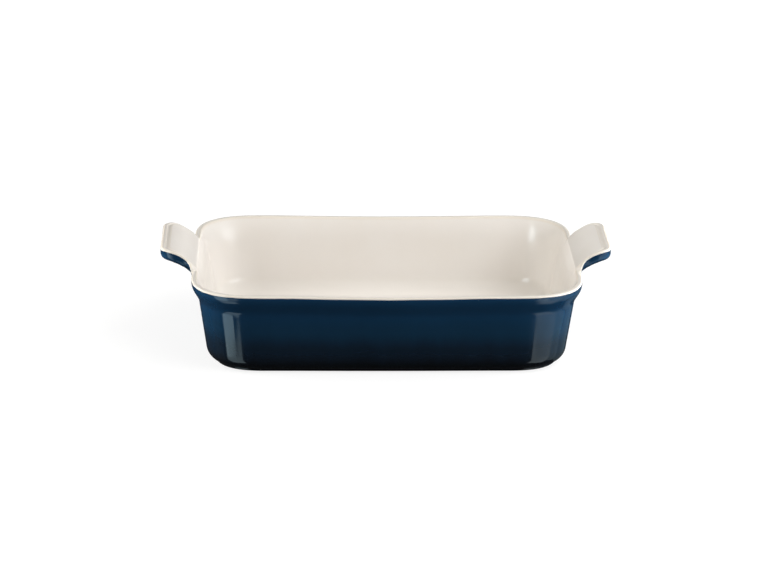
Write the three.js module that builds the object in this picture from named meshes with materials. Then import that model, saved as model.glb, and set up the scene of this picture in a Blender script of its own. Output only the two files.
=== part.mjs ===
// Rectangular stoneware baking dish with two upswept handles, at its real size in millimetres.
// The clay is one casting: tub, flared rim, handles and foot ring. Three fired glaze coats lie on it
// face to face: cream inside, over the rim and on the handle tops, blue outside down to the foot,
// and blue on the panel inside the foot ring. The land of the foot ring is bare clay.
// The glazed surface is one grid. Its sections stand round the outline, and its rings run from the
// middle of the floor out over the rim and the handles and down to the middle of the base.
import * as THREE from 'three';
import { mergeVertices } from 'three/addons/utils/BufferGeometryUtils.js';

const { clamp, lerp, smoothstep, degToRad } = THREE.MathUtils;

// Rim, seen from above.
const RIM_LENGTH = 361;
const RIM_WIDTH = 254;
const RIM_CORNER = 62; // reach of each corner's curve along both sides
const CORNER_SQUARENESS = 2.5; // exponent of the corner's curve, 2 is a circle
const CORNER_TIGHTENING = 0.7; // reach that a corner loses per millimetre of inset
const SIDE_BOW = 0.7; // bulge of each long side at its middle

// Rim, in section.
const RIM_HEIGHT = 79.6; // table to the crown of the rim
const RIM_SAG = 1.3; // dip of the crown at the middle of each long side
const RIM_ROUND = 1.5; // outer round, which ends where the cream glaze ends
const RIM_BAND = 2; // upright band below the outer round
const RIM_FLARE = 20.8; // crown to the place where the flare runs out into the wall
const RIM_OVERHANG = 6.8; // how far the rim's edge stands out from the wall there
const FLARE_TENSION = 0.34; // share of the flare's height that each end of its curve stays straight
const LIP_ROUND = 1.8; // inner round of the rim
const INNER_FLARE = 4.6; // how far the inner wall leans out at the crown
const INNER_FLARE_DEPTH = 22; // crown to the place where that lean starts

// Walls, floor and foot.
const WALL_DRAFT = 8; // degrees
const WALL_AT_RIM = 5; // level thickness of the wall
const WALL_AT_TABLE = 6.5;
const FLOOR_HEIGHT = 8;
const FLOOR_FILLET = 18;
const BASE_FILLET = 13.5;
const BASE_LIFT = 1.6; // height of the level at which the base fillet would run out
const FOOT_SETBACK = 5.9; // foot ring's outside from where the wall's slope meets the table
const FOOT_ROUND = 2.6;
const FOOT_WIDTH = 8;
const FOOT_GLAZED = 50; // degrees of the foot's round that the blue glaze covers
const BASE_RECESS = 1.6;
const RECESS_SLOPE = 1.5; // level run of the foot ring's inner side

// Handles.
const HANDLE_REACH = 29.5; // beyond the rim's edge
const HANDLE_WIDTH = 92;
const HANDLE_CORNER = 13; // corner radius at the free end
const HANDLE_ROOT = 9; // radius that spreads the handle into the rim
const HANDLE_RISE = 18.4; // free end above the crown of the rim
const HANDLE_THICKNESS = 11.8;
const HANDLE_EDGE = 2; // round along the top edge
const HANDLE_UNDER_ROUND = 6.2; // round along the lower edge
const RAMP_INSET = 5; // where the handle starts to climb, inside the rim's edge
const RAMP_LEVEL = 2; // stretch at the free end that runs level
const RAMP_POWER = 2.2; // how fast the climb slackens
const RAMP_SOFTENING = 2; // half width of the valley where the climb starts
const GROOVE_INSET = 6; // groove behind the free end's lip
const GROOVE_WIDTH = 4;
const GROOVE_DEPTH = 0.8;

const GLAZE = 0.5;

// Facets: segments in each stretch of a quarter's outline and of a section.
const END_STEPS = 1;
const HANDLE_CORNER_STEPS = 3;
const HANDLE_SIDE_STEPS = 1;
const ROOT_STEPS = 3;
const CORNER_STEPS = 8;
const SIDE_STEPS = 2;
const FLOOR_FILLET_STEPS = 3;
const INNER_FLARE_STEPS = 2;
const LIP_STEPS = 2;
const TOP_STEPS = 6;
const RAMP_STEPS = 3; // of the top's steps, those before the groove
const EDGE_STEPS = 2;
const UNDER_ROUND_STEPS = 3;
const UNDERSIDE_STEPS = 2;
const COVE_STEPS = 2;
const BASE_FILLET_STEPS = 3;
const FOOT_STEPS = 2;

// Shares of the rim's flare curve at which its edge ends and its cove starts.
const FLARE_EDGE_END = 0.3;
const FLARE_COVE_START = 0.55;
const VALLEY_SHARE = 0.3; // place across the crown of the ring that the top starts from
const HANDLE_FAN = 0.25; // how fast the sections spread along a handle's sides
const HANDLE_BLEND = 8; // reach over which the rim's edge turns into the handle's edge
const UNDERSIDE_SOFTENING = 3 * RAMP_SOFTENING;
const LEAST_CORNER = 1;

const HALF_LENGTH = RIM_LENGTH / 2;
const HALF_WIDTH = RIM_WIDTH / 2 - SIDE_BOW;
const HANDLE_END = HALF_LENGTH + HANDLE_REACH;
const HANDLE_HALF = HANDLE_WIDTH / 2;
const HANDLE_BAND = HANDLE_THICKNESS - HANDLE_EDGE - HANDLE_UNDER_ROUND;
const ROOT_HALF = HANDLE_HALF + HANDLE_ROOT;
const ROOT_END = HALF_LENGTH + HANDLE_ROOT;
const RAMP_RUN = HANDLE_REACH + RAMP_INSET - RAMP_LEVEL;
const OUTER_DRAFT = degToRad(WALL_DRAFT);
const INNER_DRAFT = Math.atan(Math.tan(OUTER_DRAFT) + (WALL_AT_TABLE - WALL_AT_RIM) / RIM_HEIGHT);
const LIP_DRAFT = Math.atan(Math.tan(INNER_DRAFT) + 2 * INNER_FLARE / INNER_FLARE_DEPTH);
const QUARTER = Math.PI / 2;

// Inset of the outer wall from the rim's edge at a height above the table.
function outerWall(height) {
  return RIM_OVERHANG + (RIM_HEIGHT - RIM_FLARE - height) * Math.tan(OUTER_DRAFT);
}

// Inset of the inner wall from the rim's edge at a height above the table. It flares below the lip.
function innerWall(height) {
  const straight = outerWall(height) + lerp(WALL_AT_TABLE, WALL_AT_RIM, height / RIM_HEIGHT);
  const rise = Math.max(height - INNER_FLARE_FOOT, 0) / INNER_FLARE_DEPTH;
  return straight - INNER_FLARE * rise ** 2;
}

const INNER_FLARE_FOOT = RIM_HEIGHT - INNER_FLARE_DEPTH;
const LIP_FOOT = RIM_HEIGHT - LIP_ROUND + LIP_ROUND * Math.sin(LIP_DRAFT);
const CROWN_INSET = innerWall(LIP_FOOT) - LIP_ROUND * Math.cos(LIP_DRAFT);
const FOOT_INSET = outerWall(0) + FOOT_SETBACK;
const LAND_INSET = FOOT_INSET + FOOT_WIDTH;

// The plain rim's flare below its band, as a curve of inset and height above the table.
const FLARE_TOP = RIM_HEIGHT - RIM_ROUND - RIM_BAND;
const FLARE_FOOT = RIM_HEIGHT - RIM_FLARE;
const FLARE_ARM = FLARE_TENSION * (FLARE_TOP - FLARE_FOOT);
const FLARE = new THREE.CubicBezierCurve(
  new THREE.Vector2(0, FLARE_TOP),
  new THREE.Vector2(0, FLARE_TOP - FLARE_ARM),
  new THREE.Vector2(outerWall(FLARE_FOOT + FLARE_ARM), FLARE_FOOT + FLARE_ARM),
  new THREE.Vector2(RIM_OVERHANG, FLARE_FOOT),
);

// Point of the first quarter on the plan ring that lies inside the rim's edge by an inset. The place
// along it counts 0 to 1 up the end, 1 to 2 round the corner and 2 to 3 along the side.
function ringPoint(inset, along) {
  const length = HALF_LENGTH - inset;
  const width = HALF_WIDTH - inset;
  const corner = Math.max(RIM_CORNER - CORNER_TIGHTENING * inset, LEAST_CORNER);
  if (along <= 1) {
    return new THREE.Vector2(length, along * (width - corner));
  }
  if (along <= 2) {
    const turn = (along - 1) * QUARTER;
    const power = 2 / CORNER_SQUARENESS;
    return new THREE.Vector2(
      length - corner + corner * Math.cos(turn) ** power,
      width - corner + corner * Math.sin(turn) ** power,
    );
  }
  const left = 3 - along;
  return new THREE.Vector2(left * (length - corner), width + SIDE_BOW * (1 - left ** 2) ** 2);
}

// Place along the rim's edge, on the end or the corner, at a distance from the long axis.
function alongAt(y) {
  const straight = HALF_WIDTH - RIM_CORNER;
  if (y <= straight) {
    return y / straight;
  }
  return 1 + Math.asin(((y - straight) / RIM_CORNER) ** (CORNER_SQUARENESS / 2)) / QUARTER;
}

// A section on a handle's outline. Its inner end is drawn towards the middle, so that the sections
// fan out along the handle's sides.
function handleSection(x, y, normalX, normalY) {
  const spread = 1 - HANDLE_FAN * Math.max(0, x - ROOT_END) / HANDLE_HALF;
  return {
    along: alongAt(y * spread),
    edge: new THREE.Vector2(x, y),
    normal: new THREE.Vector2(normalX, normalY),
  };
}

// A section on the plain rim, which keeps to its place along every ring.
function rimSection(along) {
  return { along, edge: ringPoint(0, along), normal: null };
}

// Sections of one quarter, from the middle of the handle's end to the middle of the long side.
function quarterSections() {
  const sections = [];
  const cornerX = HANDLE_END - HANDLE_CORNER;
  const cornerY = HANDLE_HALF - HANDLE_CORNER;
  for (let i = 0; i < END_STEPS; i += 1) {
    sections.push(handleSection(HANDLE_END, cornerY * i / END_STEPS, 1, 0));
  }
  for (let i = 0; i < HANDLE_CORNER_STEPS; i += 1) {
    const turn = QUARTER * i / HANDLE_CORNER_STEPS;
    const [x, y] = [Math.cos(turn), Math.sin(turn)];
    sections.push(handleSection(cornerX + HANDLE_CORNER * x, cornerY + HANDLE_CORNER * y, x, y));
  }
  for (let i = 0; i < HANDLE_SIDE_STEPS; i += 1) {
    sections.push(handleSection(lerp(cornerX, ROOT_END, i / HANDLE_SIDE_STEPS), HANDLE_HALF, 0, 1));
  }
  const rootAlong = alongAt(ROOT_HALF);
  const rootSpan = ROOT_END - ringPoint(0, rootAlong).x;
  for (let i = 0; i < ROOT_STEPS; i += 1) {
    const turn = QUARTER * i / ROOT_STEPS;
    const [x, y] = [Math.sin(turn), Math.cos(turn)];
    sections.push(handleSection(ROOT_END - rootSpan * x, ROOT_HALF - HANDLE_ROOT * y, x, y));
  }
  for (let i = 0; i < CORNER_STEPS; i += 1) {
    sections.push(rimSection(lerp(rootAlong, 2, i / CORNER_STEPS)));
  }
  for (let i = 0; i <= SIDE_STEPS; i += 1) {
    sections.push(rimSection(2 + i / SIDE_STEPS));
  }
  return sections;
}

// Plan point inside the dish's outline, handles included, by an inset.
function edgePoint(section, inset) {
  if (section.normal) {
    return section.edge.clone().addScaledVector(section.normal, -inset);
  }
  return ringPoint(inset, section.along);
}

// How far a section belongs to a handle, from 0 on the plain rim to 1.
function handleShare(section) {
  if (!section.normal) {
    return 0;
  }
  return smoothstep(section.edge.x - ringPoint(0, section.along).x, 0, HANDLE_BLEND);
}

// Height of a handle's surface above the rim's crown at a plan point.
function handleLift(section, point, softening) {
  if (!section.normal) {
    return 0;
  }
  const fade = smoothstep(point.y, HANDLE_HALF, ROOT_HALF);
  const past = point.x - HALF_LENGTH + lerp(RAMP_INSET, -softening, fade);
  if (past <= -softening) {
    return 0;
  }
  const run = past < softening ? (past + softening) ** 2 / (4 * softening) : past;
  return HANDLE_RISE * (1 - (1 - Math.min(run / RAMP_RUN, 1)) ** RAMP_POWER);
}

// Drop of the groove behind a handle's end lip. It fades out round the handle's corners.
function grooveDrop(section) {
  if (!section.normal) {
    return 0;
  }
  return GROOVE_DEPTH * smoothstep(section.edge.x, HANDLE_END - HANDLE_CORNER, HANDLE_END);
}

// Height of the rim's or the handle's top above the table at a plan point.
function topHeight(section, place) {
  return RIM_HEIGHT + handleLift(section, place, RAMP_SOFTENING);
}

function raised(place, height) {
  return new THREE.Vector3(place.x, place.y, height);
}

// Round along the top edge, from the rim's to the handle's.
function edgeRound(section) {
  return lerp(Math.min(RIM_ROUND, CROWN_INSET / 2), HANDLE_EDGE, handleShare(section));
}

// Floor, its fillet, the inner wall and the lip, up to the crown. The lip climbs with a handle.
function insideRings(section) {
  const rings = [new THREE.Vector3(0, 0, FLOOR_HEIGHT)];
  const centreHeight = FLOOR_HEIGHT + FLOOR_FILLET;
  const centreInset = innerWall(centreHeight) + FLOOR_FILLET / Math.cos(INNER_DRAFT);
  for (let i = 0; i <= FLOOR_FILLET_STEPS; i += 1) {
    const turn = lerp(QUARTER, INNER_DRAFT, i / FLOOR_FILLET_STEPS);
    const place = ringPoint(centreInset - FLOOR_FILLET * Math.cos(turn), section.along);
    rings.push(raised(place, centreHeight - FLOOR_FILLET * Math.sin(turn)));
  }
  for (let i = 0; i < INNER_FLARE_STEPS; i += 1) {
    const height = lerp(INNER_FLARE_FOOT, LIP_FOOT, i / INNER_FLARE_STEPS);
    const place = ringPoint(innerWall(height), section.along);
    rings.push(raised(place, height + handleLift(section, place, RAMP_SOFTENING)));
  }
  for (let i = 0; i <= LIP_STEPS; i += 1) {
    const turn = lerp(LIP_DRAFT, QUARTER, i / LIP_STEPS);
    const place = ringPoint(CROWN_INSET + LIP_ROUND * Math.cos(turn), section.along);
    rings.push(raised(place, topHeight(section, place) - LIP_ROUND * (1 - Math.sin(turn))));
  }
  return rings;
}

// Top of the rim or the handle from the crown outward. On a handle the rings run up the climb to the
// groove, through the groove and up to the end's lip.
function topRings(section) {
  const share = handleShare(section);
  const round = edgeRound(section);
  const valley = ringPoint(lerp(CROWN_INSET, round, VALLEY_SHARE), section.along);
  const shoulder = edgePoint(section, round);
  const span = valley.distanceTo(shoulder);
  const rings = [raised(valley, topHeight(section, valley))];
  for (let i = 1; i < TOP_STEPS; i += 1) {
    const inset = GROOVE_INSET + GROOVE_WIDTH / 2 * (RAMP_STEPS + 1 - i);
    const pastGroove = Math.max(1 - (inset - round) / span, 0);
    const toGroove = 1 - (GROOVE_INSET + GROOVE_WIDTH / 2 - round) / span;
    const onHandle = i < RAMP_STEPS ? Math.max(toGroove, 0) * i / RAMP_STEPS : pastGroove;
    const place = valley.clone().lerp(shoulder, lerp(i / TOP_STEPS, onHandle, share));
    const drop = i === RAMP_STEPS + 1 ? share * grooveDrop(section) : 0;
    rings.push(raised(place, topHeight(section, place) - drop));
  }
  rings.push(raised(shoulder, topHeight(section, shoulder)));
  return rings;
}

// Round along the top edge, down to the end of the cream glaze.
function edgeRings(section) {
  const round = edgeRound(section);
  const shoulderHeight = topHeight(section, edgePoint(section, round));
  const edgeHeight = topHeight(section, section.edge);
  const rings = [];
  for (let i = 1; i <= EDGE_STEPS; i += 1) {
    const turn = QUARTER * i / EDGE_STEPS;
    const height = lerp(shoulderHeight, edgeHeight, i / EDGE_STEPS);
    const place = edgePoint(section, round * (1 - Math.sin(turn)));
    rings.push(raised(place, height - round * (1 - Math.cos(turn))));
  }
  return rings;
}

// Point of the plain rim's flare at a share of its curve.
function flarePoint(section, share) {
  const { x: inset, y: height } = FLARE.getPoint(share);
  return raised(ringPoint(inset, section.along), height);
}

// Band below the cream glaze, the rounded lower edge, the handle's underside and the cove.
function underRings(section) {
  const share = handleShare(section);
  const top = topHeight(section, section.edge);
  const rings = [raised(section.edge, top - edgeRound(section) - lerp(RIM_BAND, HANDLE_BAND, share))];
  for (let i = 1; i <= UNDER_ROUND_STEPS; i += 1) {
    const turn = QUARTER * i / UNDER_ROUND_STEPS;
    const place = edgePoint(section, HANDLE_UNDER_ROUND * (1 - Math.cos(turn)));
    const height = top - HANDLE_THICKNESS + HANDLE_UNDER_ROUND * (1 - Math.sin(turn));
    const plain = flarePoint(section, FLARE_EDGE_END * i / UNDER_ROUND_STEPS);
    rings.push(plain.lerp(raised(place, height), share));
  }
  const cove = flarePoint(section, FLARE_COVE_START);
  const start = edgePoint(section, HANDLE_UNDER_ROUND);
  const startLift = top - RIM_HEIGHT - handleLift(section, start, UNDERSIDE_SOFTENING);
  for (let i = 1; i <= UNDERSIDE_STEPS; i += 1) {
    const reach = i / UNDERSIDE_STEPS;
    const place = start.clone().lerp(cove, reach);
    const lift = handleLift(section, place, UNDERSIDE_SOFTENING) + lerp(startLift, 0, reach);
    const height = lift + lerp(RIM_HEIGHT - HANDLE_THICKNESS, cove.z, reach);
    const plain = flarePoint(section, lerp(FLARE_EDGE_END, FLARE_COVE_START, reach));
    rings.push(plain.lerp(raised(place, height), share));
  }
  const coveLift = rings.at(-1).z - cove.z;
  for (let i = 1; i <= COVE_STEPS; i += 1) {
    const point = flarePoint(section, lerp(FLARE_COVE_START, 1, i / COVE_STEPS));
    point.z += lerp(coveLift, 0, i / COVE_STEPS);
    rings.push(point);
  }
  return rings;
}

// Foot of the outer wall: the base fillet and the glazed part of the foot's round.
function footRings(section) {
  const rings = [];
  const centreHeight = BASE_LIFT + BASE_FILLET;
  const centreInset = outerWall(centreHeight) + BASE_FILLET / Math.cos(OUTER_DRAFT);
  const lastCosine = clamp((centreInset - FOOT_INSET) / BASE_FILLET, 0, Math.cos(OUTER_DRAFT));
  const lastTurn = Math.acos(lastCosine);
  for (let i = 0; i <= BASE_FILLET_STEPS; i += 1) {
    const turn = lerp(OUTER_DRAFT, lastTurn, i / BASE_FILLET_STEPS);
    const place = ringPoint(centreInset - BASE_FILLET * Math.cos(turn), section.along);
    rings.push(raised(place, centreHeight - BASE_FILLET * Math.sin(turn)));
  }
  const footHeight = rings.at(-1).z;
  for (let i = 1; i <= FOOT_STEPS; i += 1) {
    const turn = degToRad(FOOT_GLAZED) * i / FOOT_STEPS;
    const place = ringPoint(FOOT_INSET + FOOT_ROUND * (1 - Math.cos(turn)), section.along);
    rings.push(raised(place, footHeight * (1 - Math.sin(turn))));
  }
  return rings;
}

// Bare land of the foot ring, from its outer to its inner edge.
function landRings(section) {
  return [FOOT_INSET + FOOT_ROUND, LAND_INSET].map((inset) => raised(ringPoint(inset, section.along), 0));
}

// Panel inside the foot ring.
function baseRings(section) {
  const edge = ringPoint(LAND_INSET + RECESS_SLOPE, section.along);
  return [raised(edge, BASE_RECESS), new THREE.Vector3(0, 0, BASE_RECESS)];
}

// Lets the rim sag along the long sides.
function sagged(section, point) {
  const left = Math.min(3 - section.along, 1);
  const sag = RIM_SAG * (1 - left ** 2) ** 2;
  point.z -= sag * smoothstep(point.z, FLOOR_HEIGHT, RIM_HEIGHT);
  return point;
}

const quarter = quarterSections().map((section) => {
  const cream = [...insideRings(section), ...topRings(section), ...edgeRings(section)];
  const blue = [...underRings(section), ...footRings(section)];
  const rings = [...cream, ...blue, ...landRings(section), ...baseRings(section)];
  return {
    rings: rings.map((point) => sagged(section, point)),
    creamEnd: cream.length - 1,
    blueEnd: cream.length + blue.length - 1,
  };
});
const CREAM_END = quarter[0].creamEnd;
const BLUE_END = quarter[0].blueEnd;
const LAST_RING = quarter[0].rings.length - 1;
const BASE_START = LAST_RING - 1;

// Sections of a quarter, turned into another quarter by the signs of its axes.
function turned(sections, signX, signY) {
  const signs = new THREE.Vector3(signX, signY, 1);
  return sections.map((rings) => rings.map((point) => point.clone().multiply(signs)));
}

const forth = quarter.map((section) => section.rings);
const back = [...forth].reverse();
const glazed = [
  ...forth,
  ...turned(back.slice(1), -1, 1),
  ...turned(forth.slice(1), -1, -1),
  ...turned(back.slice(1, -1), 1, -1),
];
const nextSection = (j) => (j + 1) % glazed.length;
const lastSection = (j) => (j + glazed.length - 1) % glazed.length;

// Mean direction of a line through three points.
function through(before, point, after) {
  const arriving = point.clone().sub(before).normalize();
  return after.clone().sub(point).normalize().add(arriving);
}

// Direction away from the clay at a ring of a section.
function outward(j, ring) {
  if (ring === 0 || ring === LAST_RING) {
    return new THREE.Vector3(0, 0, ring === 0 ? 1 : -1);
  }
  const point = glazed[j][ring];
  const along = through(glazed[lastSection(j)][ring], point, glazed[nextSection(j)][ring]);
  const down = through(glazed[j][ring - 1], point, glazed[j][ring + 1]);
  return down.cross(along).normalize();
}

// Surface of the clay: a coat's thickness under the glazed rings, and level with the bare ones.
const clay = glazed.map((rings, j) => rings.map((point, ring) => {
  const bare = ring > BLUE_END && ring < BASE_START;
  return bare ? point : point.clone().addScaledVector(outward(j, ring), -GLAZE);
}));

// Facets between two rings of a surface, facing away from the clay.
function facets(surface, first, last) {
  const corners = [];
  surface.forEach((near, j) => {
    const far = surface[nextSection(j)];
    for (let i = first; i < last; i += 1) {
      if (!near[i + 1].equals(far[i + 1])) {
        corners.push(near[i], near[i + 1], far[i + 1]);
      }
      if (!near[i].equals(far[i])) {
        corners.push(near[i], far[i + 1], far[i]);
      }
    }
  });
  return corners;
}

// Butt edge of a coat that ends at a ring.
function buttEdge(ring) {
  return glazed.flatMap((rings, j) => {
    const k = nextSection(j);
    const [outerNear, outerFar] = [rings[ring], glazed[k][ring]];
    const [innerNear, innerFar] = [clay[j][ring], clay[k][ring]];
    return [outerFar, outerNear, innerNear, outerFar, innerNear, innerFar];
  });
}

// Facets turned to face the other way.
function reversed(corners) {
  return corners.map((corner, i) => [corner, corners[i + 1], corners[i - 1]][i % 3]);
}

// A glaze coat between two rings.
function coat(first, last) {
  return [
    ...facets(glazed, first, last),
    ...reversed(facets(clay, first, last)),
    ...(first > 0 ? reversed(buttEdge(first)) : []),
    ...(last < LAST_RING ? buttEdge(last) : []),
  ];
}

// A named piece from its facets' corners.
function piece(name, corners, finish) {
  const geometry = mergeVertices(new THREE.BufferGeometry().setFromPoints(corners));
  geometry.computeVertexNormals();
  const mesh = new THREE.Mesh(geometry, new THREE.MeshStandardMaterial(finish));
  mesh.name = name;
  return mesh;
}

const STONEWARE = { color: 0xcdbb9f, roughness: 0.85, metalness: 0 };
const CREAM = { color: 0xe7e1d7, roughness: 0.18, metalness: 0 };
const BLUE = { color: 0x143049, roughness: 0.14, metalness: 0 };
const BASE_BLUE = { color: 0x0f1a26, roughness: 0.3, metalness: 0 };

const dish = new THREE.Group();
dish.add(piece('stoneware_body', facets(clay, 0, LAST_RING), STONEWARE));
dish.add(piece('interior_glaze', coat(0, CREAM_END), CREAM));
dish.add(piece('exterior_glaze', coat(CREAM_END, BLUE_END), BLUE));
dish.add(piece('base_glaze', coat(BASE_START, LAST_RING), BASE_BLUE));

export default dish;
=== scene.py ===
"""Looks of a rectangular stoneware baking dish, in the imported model's frame.

The clay and its three glaze coats are drawn as one fine grid of the same form as the solids, in
millimetres, and laid out in metres. The glazes, the bare clay, the studio and the camera follow.
"""

import logging
import math
from dataclasses import dataclass, field
from enum import Enum
from typing import Any

import bpy
import numpy as np
from mathutils import Matrix, Vector

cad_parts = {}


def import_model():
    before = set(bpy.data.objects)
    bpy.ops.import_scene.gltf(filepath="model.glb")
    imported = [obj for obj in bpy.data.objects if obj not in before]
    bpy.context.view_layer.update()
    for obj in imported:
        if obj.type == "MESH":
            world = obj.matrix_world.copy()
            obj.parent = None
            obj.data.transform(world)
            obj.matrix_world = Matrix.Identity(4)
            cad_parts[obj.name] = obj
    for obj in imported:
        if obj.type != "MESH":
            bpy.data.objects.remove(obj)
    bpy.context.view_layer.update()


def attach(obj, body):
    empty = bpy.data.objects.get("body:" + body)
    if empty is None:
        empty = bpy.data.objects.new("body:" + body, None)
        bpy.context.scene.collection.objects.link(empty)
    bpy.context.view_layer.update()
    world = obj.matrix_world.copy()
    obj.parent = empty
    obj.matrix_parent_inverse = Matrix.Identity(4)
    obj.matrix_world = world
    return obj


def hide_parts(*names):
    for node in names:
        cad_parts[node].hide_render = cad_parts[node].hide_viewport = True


LOG = logging.getLogger("baking_dish")
BODY = "root"
MM = 0.001
QUARTER = math.pi / 2
TINY = 1e-12
BEND = "bend"
Place = np.ndarray
Ring = tuple[Place, float]
Ends = tuple[float, float]
Colour = tuple[float, float, float]
Socket = bpy.types.NodeSocket
Sockets = dict[str, Socket]
BLACK: Colour = (0.0, 0.0, 0.0)
WHITE: Colour = (1.0, 1.0, 1.0)
WARM: Colour = (1.0, 0.985, 0.955)
COOL: Colour = (0.75, 0.92, 1.0)
FULL: Ends = (0.0, 1.0)
# Between these values lies most of a noise.
NOISE_RANGE: Ends = (0.3, 0.7)
# Numbers of the colour sockets of Blender's Mix node.
MIX_FIRST, MIX_SECOND, MIX_RESULT = 6, 7, 2


def mix(low: Any, high: Any, share: float) -> Any:
    """Value between two values or points at a share of the way."""
    return low + (high - low) * share


def smooth(low: float, high: float, value: float) -> float:
    """Smooth step from 0 at the low value to 1 at the high one."""
    share = min(max((value - low) / (high - low), 0.0), 1.0)
    return share * share * (3.0 - 2.0 * share)


def linear(red: int, green: int, blue: int) -> Colour:
    """Linear colour of a display colour.

    Args:
        red: Red from 0 to 255.
        green: Green from 0 to 255.
        blue: Blue from 0 to 255.

    Returns:
        The three channels as light values from 0 to 1.
    """
    shares = (channel / 255.0 for channel in (red, green, blue))
    channels = (c / 12.92 if c <= 0.04045 else ((c + 0.055) / 1.055) ** 2.4 for c in shares)
    return tuple(channels)


@dataclass(frozen=True)
class Station:
    """Place of one section round the dish.

    Attributes:
        along: Place along every ring, 0 to 1 up the end, 2 at the end of the corner, 3 mid side.
        edge: Plan point of the section's outer edge.
        normal: Outward direction of a handle's outline there, or None on the plain rim.
    """

    along: float
    edge: Place
    normal: Place | None = None


@dataclass(frozen=True)
class RimPlan:
    """Outline of the rim seen from above, in millimetres.

    Attributes:
        length: Rim's edge from end to end.
        width: Rim's edge from side to side, with the bow.
        corner: Reach of each corner's curve along both sides.
        squareness: Exponent of the corner's curve, 2 is a circle.
        tightening: Reach that a corner loses per millimetre of inset.
        bow: Bulge of each long side at its middle.
        least_corner: Least reach of a corner's curve on an inner ring.
    """

    length: float = 361.0
    width: float = 254.0
    corner: float = 62.0
    squareness: float = 2.5
    tightening: float = 0.7
    bow: float = 0.7
    least_corner: float = 1.0

    @property
    def half_length(self) -> float:
        """Half the rim's length."""
        return self.length / 2

    @property
    def half_width(self) -> float:
        """Half the rim's width without the bow."""
        return self.width / 2 - self.bow

    def ring(self, inset: float, along: float) -> Place:
        """Plan point of the first quarter on a ring inside the rim's edge.

        Args:
            inset: Distance of the ring inside the rim's edge.
            along: Place along the ring.

        Returns:
            The plan point.
        """
        length, width = self.half_length - inset, self.half_width - inset
        corner = max(self.corner - self.tightening * inset, self.least_corner)
        if along <= 1:
            return np.array((length, along * (width - corner)))
        if along <= 2:
            turn, power = (along - 1) * QUARTER, 2 / self.squareness
            reach_x, reach_y = max(math.cos(turn), 0.0) ** power, math.sin(turn) ** power
            return np.array((length - corner + corner * reach_x, width - corner + corner * reach_y))
        left = 3 - along
        return np.array((left * (length - corner), width + self.bow * (1 - left**2) ** 2))

    def along_at(self, y: float) -> float:
        """Place along the rim's edge, on its end or corner.

        Args:
            y: Distance from the dish's long axis.

        Returns:
            The place, 0 to 1 on the end and 1 to 2 on the corner.
        """
        straight = self.half_width - self.corner
        if y <= straight:
            return y / straight
        share = ((y - straight) / self.corner) ** (self.squareness / 2)
        return 1 + math.asin(share) / QUARTER


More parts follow.
